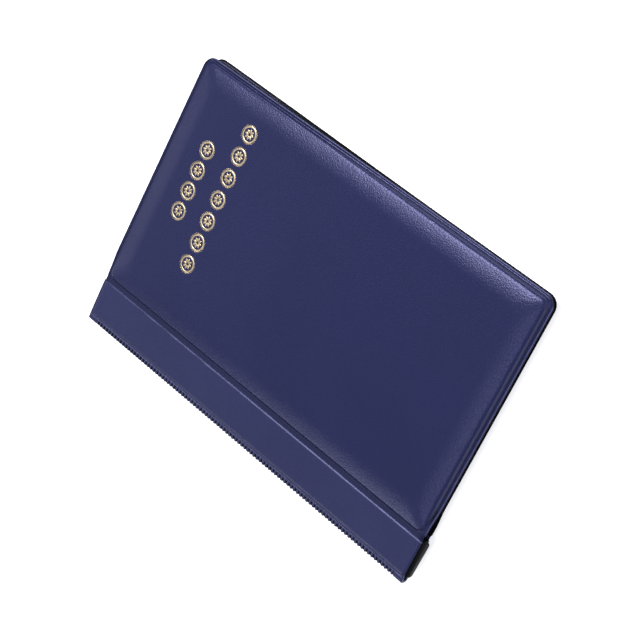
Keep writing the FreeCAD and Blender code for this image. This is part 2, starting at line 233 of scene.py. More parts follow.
# %% [markdown]
# ## Clear sheet, foil, board and foam
#
# The leaves are clear plasticised PVC: glossy, slightly grey-blue where it is stacked, and
# faintly rippled from the calender. A thin film needs no refraction, so a low alpha and a gloss
# are enough, and both survive export. The foil is hot stamped: a metal layer a few thousandths
# of a millimetre thick, so the vinyl's pebble shows through it. The greyboard and the foam are
# sealed inside the covers.

# %% Clear materials
def clear_material(name, tint, alpha, rough, ripple_size):
    """Thin clear sheet with a slow ripple and a slight haze."""
    material, tree, shader = new_material(
        name, Base_Color=linear(tint), Alpha=alpha, IOR=1.53, Specular_IOR_Level=0.6)
    place = add_node(tree, "ShaderNodeTexCoord").outputs["Object"]
    ripple = add_node(tree, "ShaderNodeTexNoise", {
        "Vector": place, "Scale": per_metre(ripple_size), "Detail": 0.0})
    haze = add_node(tree, "ShaderNodeTexNoise", {
        "Vector": place, "Scale": per_metre(12 * MM), "Detail": 2.0})
    bump = add_node(tree, "ShaderNodeBump", {
        "Height": ripple.outputs["Fac"], "Distance": 0.3 * MM, "Strength": 0.2})
    tree.links.new(bump.outputs["Normal"], shader.inputs["Normal"])
    dullness = add_node(tree, "ShaderNodeMapRange", {
        "Value": haze.outputs["Fac"], "To Min": rough - 0.03, "To Max": rough + 0.04})
    tree.links.new(dullness.outputs["Result"], shader.inputs["Roughness"])
    return material


clear_sheet = clear_material("clear_pvc_sheet", "#DCE6EC", 0.22, 0.16, 18 * MM)
clear_film = clear_material("clear_pvc_film", "#E6EEF2", 0.16, 0.12, 9 * MM)


def weld_material():
    """The knurled electrode leaves rows of small dimples in the weld, which look milky."""
    material, tree, shader = new_material(
        "welded_clear_pvc", Base_Color=linear("#D2DCE4"), Alpha=0.42, IOR=1.53)
    place = add_node(tree, "ShaderNodeTexCoord").outputs["Object"]
    dimple = add_node(tree, "ShaderNodeTexVoronoi", {
        "Vector": place, "Scale": per_metre(0.7 * MM), "Randomness": 0.0})
    bump = add_node(tree, "ShaderNodeBump", {
        "Height": dimple.outputs["Distance"], "Distance": 0.1 * MM, "Strength": 0.8})
    tree.links.new(bump.outputs["Normal"], shader.inputs["Normal"])
    dullness = add_node(tree, "ShaderNodeMapRange", {
        "Value": dimple.outputs["Distance"], "To Min": 0.2, "To Max": 0.5})
    tree.links.new(dullness.outputs["Result"], shader.inputs["Roughness"])
    return material


clear_weld = weld_material()
print("clear materials:", clear_sheet.name, clear_film.name, clear_weld.name)


# %% Foil, board and foam
def foil_material():
    """Pale gold stamping foil: a satin metal with the vinyl's pebble pressed through it."""
    material, tree, shader = new_material("stamped_gold_foil", Metallic=1.0)
    place, _, fine = pebble_bump(tree, shader, PEBBLE, PEBBLE_DEPTH * 0.7, WAVE_DEPTH * 0.4)
    tone = add_node(tree, "ShaderNodeTexNoise", {
        "Vector": place, "Scale": per_metre(6 * MM), "Detail": 4.0, "Roughness": 0.6})
    colour = add_node(tree, "ShaderNodeValToRGB", {"Fac": tone.outputs["Fac"]})
    set_stops(colour, (0.3, "#A8977A"), (0.7, "#C3B393"))
    tree.links.new(colour.outputs["Color"], shader.inputs["Base Color"])
    satin = add_node(tree, "ShaderNodeMapRange", {"Value": fine, "To Min": 0.3, "To Max": 0.46})
    tree.links.new(satin.outputs["Result"], shader.inputs["Roughness"])
    return material


def fibre_material(name, dark, light, fibre, rough):
    """Pulp board or foam: a matt body with a fine broken surface."""
    material, tree, shader = new_material(name, IOR=1.45)
    place = add_node(tree, "ShaderNodeTexCoord").outputs["Object"]
    grit = add_node(tree, "ShaderNodeTexNoise", {
        "Vector": place, "Scale": per_metre(fibre), "Detail": 6.0, "Roughness": 0.7})
    colour = add_node(tree, "ShaderNodeValToRGB", {"Fac": grit.outputs["Fac"]})
    set_stops(colour, (0.35, dark), (0.65, light))
    tree.links.new(colour.outputs["Color"], shader.inputs["Base Color"])
    bump = add_node(tree, "ShaderNodeBump", {
        "Height": grit.outputs["Fac"], "Distance": 0.1 * MM, "Strength": 0.5})
    tree.links.new(bump.outputs["Normal"], shader.inputs["Normal"])
    dullness = add_node(tree, "ShaderNodeMapRange", {
        "Value": grit.outputs["Fac"], "To Min": rough - 0.05, "To Max": rough + 0.05})
    tree.links.new(dullness.outputs["Result"], shader.inputs["Roughness"])
    return material


def paint_node(name, material):
    """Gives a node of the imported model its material, and leaves its shape alone."""
    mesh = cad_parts[name].data
    mesh.materials.clear()
    mesh.materials.append(material)


gold_foil = foil_material()
greyboard = fibre_material("binders_greyboard", "#7D7A73", "#98958D", 1.2 * MM, 0.88)
white_foam = fibre_material("open_cell_foam", "#D8D7D2", "#ECEBE7", 0.5 * MM, 0.93)

for side in ("front", "back"):
    paint_node(f"{side}_cover_board", greyboard)
    paint_node(f"{side}_cover_foam", white_foam)
print("board and foam painted in both covers")

# %% [markdown]
# ## Meshes from rings
#
# A welded cover changes only with the distance from its edge: rim, weld groove, rolled padding,
# flat top. So it is lofted from rings, each one the cover's outline drawn in by some inset, at
# the height that a profile gives. All rings have the same number of points, and the last one
# closes on the panel's middle line.

# %% Ring helpers
WELD = 1.2 * MM
HINGE_SIDE_WELD = 0.65
HALF_WIDTH = (fore_x - panel_x) / 2
LONG_STEPS = 72
SHORT_STEPS = 40
ARC_STEPS = 8


def run(start, end, steps):
    """Evenly spaced points from start up to, but not including, end."""
    return [start.lerp(end, i / steps) for i in range(steps)]


def arc(centre, radius, turn):
    """A quarter turn of points that starts at an angle in degrees, its end left out."""
    angles = [math.radians(turn + 90 * i / ARC_STEPS) for i in range(ARC_STEPS)]
    return [centre + radius * Vector((math.cos(a), math.sin(a))) for a in angles]


def outline(inset, near_radius, far_radius):
    """The cover's outline in plan, drawn in by inset, with its own radius at each end."""
    narrower = HINGE_SIDE_WELD * min(inset, WELD) * (1 - inset / HALF_WIDTH)
    x0, x1 = panel_x + inset - narrower, fore_x - inset
    y0, y1 = bottom_y + inset, top_y - inset
    room = (x1 - x0) / 2
    near, far = min(near_radius, room), min(far_radius, room)
    points = run(Vector((x0 + near, y0)), Vector((x1 - far, y0)), SHORT_STEPS)
    points += arc(Vector((x1 - far, y0 + far)), far, -90)
    points += run(Vector((x1, y0 + far)), Vector((x1, y1 - far)), LONG_STEPS)
    points += arc(Vector((x1 - far, y1 - far)), far, 0)
    points += run(Vector((x1 - far, y1)), Vector((x0 + near, y1)), SHORT_STEPS)
    points += arc(Vector((x0 + near, y1 - near)), near, 90)
    points += run(Vector((x0, y1 - near)), Vector((x0, y0 + near)), LONG_STEPS)
    points += arc(Vector((x0 + near, y0 + near)), near, 180)
    return points


def mesh_object(name, points, faces, material):
    """A smooth mesh object at the origin, with doubles merged and its faces turned outwards."""
    mesh = bpy.data.meshes.new(name)
    mesh.from_pydata([tuple(p) for p in points], [], faces)
    work = bmesh.new()
    work.from_mesh(mesh)
    bmesh.ops.remove_doubles(work, verts=work.verts, dist=0.002 * MM)
    bmesh.ops.recalc_face_normals(work, faces=work.faces)
    for face in work.faces:
        face.smooth = True
    work.to_mesh(mesh)
    work.free()
    mesh.materials.append(material)
    piece = bpy.data.objects.new(name, mesh)
    bpy.context.scene.collection.objects.link(piece)
    return piece


def loft_faces(rings, points_in_ring, closed=False):
    """Quads between neighbouring rings, and between the last and the first when closed."""
    faces = []
    for r in range(rings if closed else rings - 1):
        here, there = r * points_in_ring, (r + 1) % rings * points_in_ring
        for i in range(points_in_ring):
            j = (i + 1) % points_in_ring
            faces.append((here + i, here + j, there + j, there + i))
    return faces


def capped_faces(rings, size):
    """A loft's faces, with a cap on its first ring and one on its last."""
    last = (rings - 1) * size
    caps = [tuple(range(size)), tuple(last + i for i in reversed(range(size)))]
    return loft_faces(rings, size) + caps


def sheet_faces(columns, rows):
    """Faces of a closed thin sheet: a grid of points, the same grid under it, and its edge."""
    row = rows + 1
    under = row * (columns + 1)
    faces = []
    for i in range(columns):
        for j in range(rows):
            a = i * row + j
            faces.append((a, a + row, a + row + 1, a + 1))
            faces.append((a + under, a + 1 + under, a + row + 1 + under, a + row + under))
    rim = [i * row for i in range(columns)] + [columns * row + j for j in range(rows)]
    rim += [i * row + rows for i in range(columns, 0, -1)] + list(range(rows, 0, -1))
    return faces + [(b, a, a + under, b + under) for a, b in zip(rim, rim[1:] + rim[:1])]


def apply_modifiers(piece):
    """Turns a piece and its modifiers into a plain mesh."""
    graph = bpy.context.evaluated_depsgraph_get()
    plain = bpy.data.meshes.new_from_object(piece.evaluated_get(graph))
    piece.modifiers.clear()
    piece.data = plain


def give_thickness(piece, thickness):
    """A wall grown inwards from the surface, closed round its edge."""
    wall = piece.modifiers.new("wall", "SOLIDIFY")
    wall.thickness = thickness
    wall.offset = -1
    wall.use_even_offset = False
    apply_modifiers(piece)


def mark(piece, name, amount):
    """Stores an amount from 0 to 1 at each point for the vinyl's colour: paler crests from wear
    and a painted highlight, and painted shade in the grooves.
    """
    layer = piece.data.attributes.new(name, "FLOAT", "POINT")
    for vertex, value in zip(piece.data.vertices, layer.data):
        value.value = amount(vertex.co)


def bump_at(value, middle, reach):
    """1 at the middle, falling to 0 at reach on both sides of it."""
    return max(0.0, 1 - ((value - middle) / reach) ** 2)


def edge_distance(co):
    """How far a point is inside the cover's straight edges."""
    return min(co.x - panel_x, fore_x - co.x, co.y - bottom_y, top_y - co.y)


def weld_distance(co):
    """The same, with the narrower weld beside the hinge stretched to the others' width."""
    from_hinge = (co.x - panel_x) / (1 - HINGE_SIDE_WELD)
    return min(from_hinge, fore_x - co.x, co.y - bottom_y, top_y - co.y)


print("cover, mm:", round(2 * HALF_WIDTH / MM, 1), "by", round((top_y - bottom_y) / MM, 1))

# %% [markdown]
# ## The padded covers
#
# The blue vinyl lies over board and foam and is welded to the black lining all round. From the
# edge inwards there is a cut edge, a low ridge that the electrode squeezed up, the dark weld
# groove, then the padding: a short steep wall over the board, and a long roll over the foam.
# The roll is a formula, steep at the weld and flat at the top, as foam under a stretched sheet
# is. Beside the hinge the weld is pressed flat. Outside the board the rims are soft: they bend
# towards each other at the bottom fore corner and spring apart at the top one.

# %% Cover skins
WALL_RUN = 0.8 * MM
ROLL_RUN = 8.6 * MM
WALL_RISE = 0.55 * MM
CROWN_DOME = 0.12 * MM
FLAT_WELD = -0.26 * MM
WELD_SINK = 0.22 * MM
ROLL_START = 0.3 * MM
ROLL_POWER = 1.7
CROWN_SPARE = 0.1 * MM
RIM_FLEX = 2.8 * MM
RIM_BEND = 1.1 * MM
RIM_SPRING = 0.7 * MM
HINGE_CORNER, FORE_CORNER, ROLL_CORNER, CROWN_CORNER = 1.0 * MM, 4.5 * MM, 3.0 * MM, 4.2 * MM
SWELL = 0.07 * MM
PUCKER = 0.05 * MM
SKIN_WALL = 0.38 * MM
FRONT_SEED, BACK_SEED = 3.0, 11.0

# inset and height over the rim, for the cut edge, the squeezed ridge and the weld groove
RIM_PROFILE = [
    (0.00, -0.40), (0.00, -0.14), (0.05, -0.03), (0.13, 0.03), (0.23, 0.05), (0.34, 0.02),
    (0.46, -0.08), (0.60, -0.20), (0.80, -0.28), (1.02, -0.27),
]


def smooth_step(t):
    """An even ramp from 0 to 1 that starts and ends level."""
    t = min(max(t, 0.0), 1.0)
    return t * t * (3 - 2 * t)


def padding_height(inset):
    """Height of the padded panel over its rim, at an inset from the cover's edge."""
    wall = smooth_step((inset - WELD) / WALL_RUN)
    roll = min(max((inset - WELD - ROLL_START) / ROLL_RUN, 0.0), 1.0)
    dome = smooth_step((inset - WELD - ROLL_RUN) / (HALF_WIDTH - WELD - ROLL_RUN))
    rolled = (padding - WALL_RISE - CROWN_DOME) * (1 - (1 - roll) ** ROLL_POWER)
    return WALL_RISE * wall - WELD_SINK * (1 - wall) + rolled + CROWN_DOME * dome


def cover_insets():
    """Insets of the padded panel's rings: close together on the roll, wide on the flat top."""
    wall = [WELD + WALL_RUN * i / 7 for i in range(8)]
    roll = [WELD + WALL_RUN + (ROLL_RUN + 1 * MM) * (i / 16) ** 1.25 for i in range(1, 17)]
    flat = [roll[-1] + (HALF_WIDTH - roll[-1]) * i / 12 for i in range(1, 13)]
    return wall + roll + flat


def ring_radii(inset):
    """Corner radii of a ring, at the groove and at the fore edge."""
    rim = inset / WELD
    if rim < 1:
        return (HINGE_CORNER + (ROLL_CORNER - HINGE_CORNER) * rim,
                FORE_CORNER + (ROLL_CORNER - FORE_CORNER) * rim)
    share = smooth_step((inset - WELD) / (WALL_RUN + ROLL_RUN))
    radius = ROLL_CORNER + (CROWN_CORNER - ROLL_CORNER) * share
    return radius, radius


def slack(x, y, inset, seed):
    """Small unevenness of a padded sheet: slow swells on top, faint puckers beside the weld."""
    swell = noise.noise(Vector((x * 28, y * 28, seed)))
    pucker = noise.noise(Vector((x * 160, y * 160, seed + 5)))
    on_wall = 1 - smooth_step((inset - 4 * MM) / (5 * MM))
    near_weld = smooth_step((inset - WELD) / (1.5 * MM)) * on_wall
    on_top = smooth_step((inset - 3 * MM) / (8 * MM))
    return SWELL * swell * on_top + PUCKER * pucker * near_weld


def rim_bend(x, y, inset):
    """How far a soft rim bends towards the other cover, or away from it at the top fore corner."""
    outside_board = 1 - smooth_step(inset / RIM_FLEX)
    off_hinge = smooth_step((x - panel_x - 3 * MM) / (9 * MM))
    towards_bottom = smooth_step((top_y - y - 12 * MM) / (110 * MM))
    bend = RIM_BEND * towards_bottom - RIM_SPRING * (1 - towards_bottom)
    return bend * outside_board * off_hinge


def beside_hinge(x):
    """1 on the weld beside the hinge, which is pressed flat into the groove, and 0 elsewhere."""
    return 1 - smooth_step((x - panel_x - 0.6 * MM) / (1.4 * MM))


def make_skin(name, node, body, rim_z, outward, seed):
    """One padded cover skin; outward is 1 for the front cover and -1 for the back."""
    stations = [(inset * MM, height * MM) for inset, height in RIM_PROFILE]
    stations += [(inset, padding_height(inset)) for inset in cover_insets()]
    ceiling = padding + (CROWN_SPARE if outward > 0 else 0.0)
    points = []
    for inset, height in stations:
        for p in outline(inset, *ring_radii(inset)):
            if inset < WELD:
                lift = beside_hinge(p.x) * (min(height, FLAT_WELD) - height)
            else:
                lift = slack(p.x, p.y, inset, seed)
            rise = min(height + lift, ceiling) - rim_bend(p.x, p.y, inset)
            points.append(Vector((p.x, p.y, rim_z + outward * rise)))
    ring = len(points) // len(stations)
    skin = mesh_object(name, points, loft_faces(len(stations), ring), navy_vinyl)
    facing = max(skin.data.polygons, key=lambda f: f.area).normal.z * outward
    if facing < 0:
        skin.data.flip_normals()
    give_thickness(skin, SKIN_WALL)
    # the rim ridge's crest is drawn paler: partly wear, partly a painted highlight line
    mark(skin, "wear_and_highlight", lambda co: 0.7 * bump_at(edge_distance(co), 0.22 * MM, 0.2 * MM)
         * (1 - beside_hinge(co.x)))
    # painted shade: the weld groove, and the flat weld beside the hinge, are drawn darker
    mark(skin, "groove_shade", lambda co: max(0.7 * bump_at(weld_distance(co), 0.84 * MM, 0.45 * MM),
                                        0.35 * beside_hinge(co.x + 0.9 * MM)))
    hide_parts(node)
    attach(skin, body)
    return skin


front_skin = make_skin("front_padded_skin", "front_cover_skin", "front_cover", front_rim_z, 1,
                       FRONT_SEED)
make_skin("back_padded_skin", "back_cover_skin", "back_cover", back_rim_z, -1, BACK_SEED)
print("front skin:", len(front_skin.data.polygons), "faces")

# %% [markdown]
# ## The linings
#
# The black lining is cut with the skin, so its edge shows as a dark line under the blue rim. On
# its inner face the weld leaves a shallow channel round the edge, and the board's outline shows
# as a faint step.

# %% Cover linings
EDGE_PROUD = 0.12 * MM
LINING = 0.3 * MM


def make_lining(name, node, body, inside_z, outward):
    """A thin closed sheet: its inner face with channel and step, and its flat outer face."""
    face = [
        (HALF_WIDTH, 0.0), (30 * MM, 0.0), (10 * MM, 0.0), (3.6 * MM, 0.0),
        (3.2 * MM, 0.01 * MM), (2.9 * MM, 0.05 * MM), (2.1 * MM, 0.06 * MM),
        (1.8 * MM, 0.14 * MM), (1.5 * MM, 0.15 * MM), (1.2 * MM, 0.07 * MM),
        (0.6 * MM, 0.03 * MM), (0.1 * MM, 0.05 * MM), (-EDGE_PROUD, 0.1 * MM),
        (-EDGE_PROUD, LINING - 0.04 * MM), (0.1 * MM, LINING), (3 * MM, LINING),
        (20 * MM, LINING), (HALF_WIDTH, LINING),
    ]
    points = []
    for inset, height in face:
        for p in outline(inset, *ring_radii(max(inset, 0.0))):
            rise = height - rim_bend(p.x, p.y, inset)
            points.append(Vector((p.x, p.y, inside_z + outward * rise)))
    ring = len(points) // len(face)
    lining = mesh_object(name, points, loft_faces(len(face), ring), black_vinyl)
    # the lining is drawn paler towards its cut edge: partly wear, partly a painted highlight
    mark(lining, "wear_and_highlight", lambda co: 0.5 * (1 - smooth_step(edge_distance(co) / (0.8 * MM))))
    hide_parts(node)
    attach(lining, body)


make_lining("front_black_lining", "front_cover_lining", "front_cover", front_lining_z, 1)
make_lining("back_black_lining", "back_cover_lining", "back_cover", back_lining_z, -1)
print("linings:", round(LINING / MM, 2), "mm thick,", round(EDGE_PROUD / MM, 2), "mm proud")

# %% [markdown]
# ## The binding
#
# Strips, webs and core are long bars, so they are swept: a closed section in X and Z, repeated
# along Y, where a slow wave keeps the soft strip from looking like a ruler. The web across each
# groove is the living hinge; it is built in place with the cover closed and left on no body.

# %% Sweep helper
def sweep(name, section_at, stations, material):
    """A bar with closed ends: section_at(y) gives the same number of (x, z) points each time."""
    points = [Vector((x, y, z)) for y in stations for x, z in section_at(y)]
    rings = len(stations)
    return mesh_object(name, points, capped_faces(rings, len(points) // rings), material)


def along(low, high, steps):
    """Evenly spaced values from low up to and including high."""
    return [low + (high - low) * i / steps for i in range(steps + 1)]


def ends_soft(y, reach):
    """0 at the album's ends, rising to 1 over reach."""
    return smooth_step(min(y - bottom_y, top_y - y) / reach)


SPINE_DROP = 0.6 * MM


def lean(x):
    """How far a strip has leaned in at x, on its way from the groove to the spine."""
    return SPINE_DROP * (strip_x - x) / (strip_x - spine_x)


print("the strips lean in by", round(lean(wrap_x) / MM, 2), "mm at the ribs")

# %% Hinge strips
# across the strip: distance from the groove's edge, and height over the strip, for the bead
BEAD = [(1.3, 0.0), (0.80, 0.0), (0.70, 0.02), (0.62, 0.07), (0.54, 0.11), (0.46, 0.07),
        (0.34, 0.0), (0.12, -0.12), (0.0, -0.24)]
STRIP_THICKNESS = 0.38 * MM
STRIP_WAVE = 0.18 * MM
STRIP_CROWN = 0.08 * MM


def bead_strength(y):
    """How far the weld squeezed the bead up: fully at the bottom, in broken bits at the top."""
    pressed = smooth_step((top_y - y - 15 * MM) / (120 * MM))
    broken = smooth_step(0.5 + 2.2 * noise.noise(Vector((0, y * 150, 21.0))))
    return pressed + (1 - pressed) * 0.55 * broken


def make_strip(name, nodes, rim_z, outward, seed):
    """One hinge strip with its bead, which fades towards the ends of the album."""

    def section(y):
        """The strip's outline where it is cut across at y."""
        fade = bead_strength(y) * (0.35 + 0.65 * ends_soft(y, 16 * MM))
        top = []
        for i in range(10):
            x = wrap_x + (strip_x - 1.9 * MM - wrap_x) * i / 9
            across = math.sin(math.pi * (x - wrap_x) / (strip_x - wrap_x))
            wave = STRIP_WAVE * noise.noise(Vector((x * 90, y * 34, seed)))
            top.append((x, -lean(x) + across * (wave + STRIP_CROWN)))
        for distance, height in BEAD:
            x = strip_x - distance * MM
            top.append((x, -lean(x) + height * MM * (fade if height > 0 else 1)))
        under = [(x, min(-lean(x), z) - STRIP_THICKNESS) for x, z in reversed(top)]
        return [(x, rim_z + outward * z) for x, z in top + under]

    strip = sweep(name, section, along(bottom_y, top_y, 110), strip_vinyl)
    # the bead's crest is drawn paler: partly wear, partly a painted highlight line
    mark(strip, "wear_and_highlight", lambda co: bump_at(strip_x - co.x, 0.54 * MM, 0.16 * MM)
         * bead_strength(co.y))
    # painted shade: the strip is drawn darker on its slope down into the groove
    mark(strip, "groove_shade", lambda co: 0.7 * smooth_step((co.x - strip_x + 0.36 * MM) / (0.2 * MM)))
    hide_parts(*nodes)
    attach(strip, "binding")


make_strip("front_strip", ["front_hinge_strip"], front_rim_z, 1, 2.0)
make_strip("back_strip", ["back_hinge_strip"], back_rim_z, -1, 8.0)
print("strips:", round((strip_x - wrap_x) / MM, 1), "mm wide from the ribs to the groove")

# %% Webs across the grooves
WEB_DIP = 0.1 * MM
WEB_SET = 0.1 * MM
WEB_THICKNESS = 0.18 * MM
WEB_LAP = 0.3 * MM


def make_web(name, rim_z, outward):
    """The thin pressed vinyl between strip and cover, as it lies with the cover closed."""
    start, end = strip_x - WEB_LAP, panel_x + WEB_LAP

    def section(y):
        """The web's outline, the same all along."""
        top = []
        for i in range(17):
            share = i / 16
            dip = WEB_DIP * math.sin(math.pi * share) ** 0.6 + WEB_SET
            top.append((start + (end - start) * share, -dip))
        under = [(x, z - WEB_THICKNESS) for x, z in reversed(top)]
        return [(x, rim_z + outward * z) for x, z in top + under]

    web = sweep(name, section, along(bottom_y + 0.3 * MM, top_y - 0.3 * MM, 60), groove_shade_vinyl)
    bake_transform(web)


make_web("front_groove_web", front_rim_z, 1)
make_web("back_groove_web", back_rim_z, -1)
print("webs:", round((panel_x - strip_x) / MM, 2), "mm from the strip to the cover")

# %% [markdown]
# ## The ribbed spine
#
# The spine is pressed into fine ribs that run over its thickness and fade out over the start of
# each strip, so that it can curl as the album opens. One rib is modelled, as a half-round bar
# bent over the spine's section. Geometry Nodes then repeat it: a line of points, an instance on
# each, a little random wander from a fixed seed, and real geometry at the end.

# %% Geometry Nodes helpers
def new_tree(name, inputs):
    """A geometry tree with named inputs, given as (name, socket type) pairs."""
    tree = bpy.data.node_groups.new(name, "GeometryNodeTree")
    tree.interface.new_socket(name="Geometry", in_out="OUTPUT", socket_type="NodeSocketGeometry")
    for label, kind in inputs:
        tree.interface.new_socket(name=label, in_out="INPUT", socket_type=f"NodeSocket{kind}")
    return tree, add_node(tree, "NodeGroupInput"), add_node(tree, "NodeGroupOutput")


def close_tree(tree, group_in, group_out, instances):
    """Ends a tree with real geometry and its material."""
    real = add_node(tree, "GeometryNodeRealizeInstances", {"Geometry": instances})
    painted = add_node(tree, "GeometryNodeSetMaterial", {
        "Geometry": real.outputs["Geometry"], "Material": group_in.outputs["Material"]})
    tree.links.new(painted.outputs["Geometry"], group_out.inputs["Geometry"])


def grow(name, tree, values):
    """Runs a tree on an empty mesh with its inputs set, and keeps the result as a plain mesh."""
    seedling = bpy.data.objects.new(name, bpy.data.meshes.new(name))
    bpy.context.scene.collection.objects.link(seedling)
    modifier = seedling.modifiers.new("grow", "NODES")
    modifier.node_group = tree
    for item in tree.interface.items_tree:
        if item.in_out == "INPUT":
            modifier[item.identifier] = values[item.name]
    apply_modifiers(seedling)
    for face in seedling.data.polygons:
        face.use_smooth = True
    print(name, "has", len(seedling.data.polygons), "faces")
    return seedling


def discard(*prototypes):
    """Removes prototypes that have been repeated."""
    for prototype in prototypes:
        bpy.data.objects.remove(prototype, do_unlink=True)


# %% Spine wall
RIB_PITCH = 1.65 * MM
RIB_WIDTH = 1.02 * MM
RIB_HEIGHT = 0.42 * MM
PLAIN_END = 4.5 * MM
SPINE_WALL = 0.9 * MM
SPINE_EDGE = 1.1 * MM
WRAP_SHARE = 0.2
half_spine = (front_rim_z - back_rim_z) / 2


def spine_section(inset, wrap_share=1.0):
    """The spine's outer line, drawn in by inset, or by only a share of it beside the strips."""
    top = half_spine - lean(spine_x) - inset
    edge = SPINE_EDGE
    upper = [(wrap_x, half_spine - lean(wrap_x) - inset * wrap_share),
             ((wrap_x + spine_x + edge) / 2,
              half_spine - lean((wrap_x + spine_x) / 2) - inset * (1 + wrap_share) / 2)]
    for i in range(6):
        angle = math.radians(18 * i)
        x = spine_x + edge - (edge - inset) * math.sin(angle)
        upper.append((x, top + inset - edge + (edge - inset) * math.cos(angle)))
    return upper + [(x, -z) for x, z in reversed(upper)]


def wall_section(y):
    """Plain at both ends of the album, and sunk between the ribs, least towards the top."""
    from_end = min(y - bottom_y, top_y - y)
    depth = RIB_HEIGHT * (0.3 + 0.6 * smooth_step((top_y - y) / (75 * MM)))
    sunk = depth * smooth_step((from_end - PLAIN_END + 0.6 * MM) / (0.5 * MM))
    outside = spine_section(sunk, WRAP_SHARE)
    inside = spine_section(SPINE_WALL)
    return [(x, z + middle_z) for x, z in outside + inside[::-1]]


end_rows = along(0, PLAIN_END + 0.4 * MM, 10)
wall_rows = [bottom_y + d for d in end_rows]
wall_rows += along(bottom_y + PLAIN_END + 1 * MM, top_y - PLAIN_END - 1 * MM, 60)
wall_rows += [top_y - d for d in reversed(end_rows)]
spine_wall = sweep("spine_wall", wall_section, wall_rows, valley_vinyl)
spine_wall.data.materials.append(strip_vinyl)
for face in spine_wall.data.polygons:
    from_end = min(face.center.y - bottom_y, top_y - face.center.y)
    beside_strip = face.center.x > (wrap_x + spine_x + SPINE_EDGE) / 2
    face.material_index = 1 if beside_strip or from_end < PLAIN_END - 0.3 * MM else 0
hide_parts("ribbed_spine")
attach(spine_wall, "binding")
print("spine wall:", round(2 * half_spine / MM, 1), "mm high")

# %% Spine ribs
# across a rib in widths, and height over its foot in rib heights
RIB_PROFILE = [(-0.5, -0.5), (-0.46, 0.25), (-0.27, 0.8), (0.0, 1.0), (0.27, 0.8), (0.46, 0.25),
               (0.5, -0.5)]


def make_rib():
    """One rib at y = 0: a half-round bar over the spine's section that sinks away at both ends."""
    foot = spine_section(RIB_HEIGHT, WRAP_SHARE)
    crest = spine_section(-0.02 * MM, WRAP_SHARE)
    points = []
    last = len(foot) - 1
    for i, (low, high) in enumerate(zip(foot, crest)):
        near_end = min(i, last - i)
        share = (0.25, 0.92)[near_end] if near_end < 2 else 1.0
        for across, rise in RIB_PROFILE:
            x = low[0] + (high[0] - low[0]) * rise * share
            z = low[1] + (high[1] - low[1]) * rise * share
            points.append(Vector((x, across * RIB_WIDTH, z + middle_z)))
    return mesh_object("one_rib", points, capped_faces(len(foot), len(RIB_PROFILE)), lit_rib_vinyl)


def rib_tree():
    """A line of ribs, each one moved a little at random."""
    tree, group_in, group_out = new_tree("ribs_along_spine", [
        ("Rib", "Object"), ("Count", "Int"), ("Start", "Float"), ("Pitch", "Float"),
        ("Wander", "Float"), ("Material", "Material")])
    start = add_node(tree, "ShaderNodeCombineXYZ", {"Y": group_in.outputs["Start"]})
    step = add_node(tree, "ShaderNodeCombineXYZ", {"Y": group_in.outputs["Pitch"]})
    line = add_node(tree, "GeometryNodeMeshLine", {
        "Count": group_in.outputs["Count"], "Start Location": start.outputs["Vector"],
        "Offset": step.outputs["Vector"]})
    wander = group_in.outputs["Wander"]
    back = add_node(tree, "ShaderNodeMath", {0: wander, 1: -1.0}, operation="MULTIPLY")
    drift = add_node(tree, "FunctionNodeRandomValue", {
        "Min": back.outputs["Value"], "Max": wander, "Seed": 4}, data_type="FLOAT")
    shift = add_node(tree, "ShaderNodeCombineXYZ", {"Y": drift.outputs[1]})
    moved = add_node(tree, "GeometryNodeSetPosition", {
        "Geometry": line.outputs["Mesh"], "Offset": shift.outputs["Vector"]})
    rib = add_node(tree, "GeometryNodeObjectInfo", {"Object": group_in.outputs["Rib"]})
    ribs = add_node(tree, "GeometryNodeInstanceOnPoints", {
        "Points": moved.outputs["Geometry"], "Instance": rib.outputs["Geometry"]})
    close_tree(tree, group_in, group_out, ribs.outputs["Instances"])
    return tree


rib_span = top_y - bottom_y - 2 * PLAIN_END
rib_count = int(rib_span / RIB_PITCH) + 1
one_rib = make_rib()
ribs = grow("spine_ribs", rib_tree(), {
    "Rib": one_rib, "Count": rib_count, "Start": -(rib_count - 1) * RIB_PITCH / 2,
    "Pitch": RIB_PITCH, "Wander": 0.05 * MM, "Material": lit_rib_vinyl})
discard(one_rib)
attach(ribs, "binding")

# %% [markdown]
# ## The core and the strip linings
#
# Between the strips lies the black bar that holds the leaves. Its ends are the only part of it
# that shows, rounded and a little uneven, as a trimmed weld is. The strips' linings keep their
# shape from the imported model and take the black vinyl.

# %% Binding core
CORE_ROUND = 0.9 * MM
CORE_PROUD = 1.9 * MM
END_TAPER = 1.6 * MM
END_DRAW = 0.8 * MM
END_THIN = 0.096


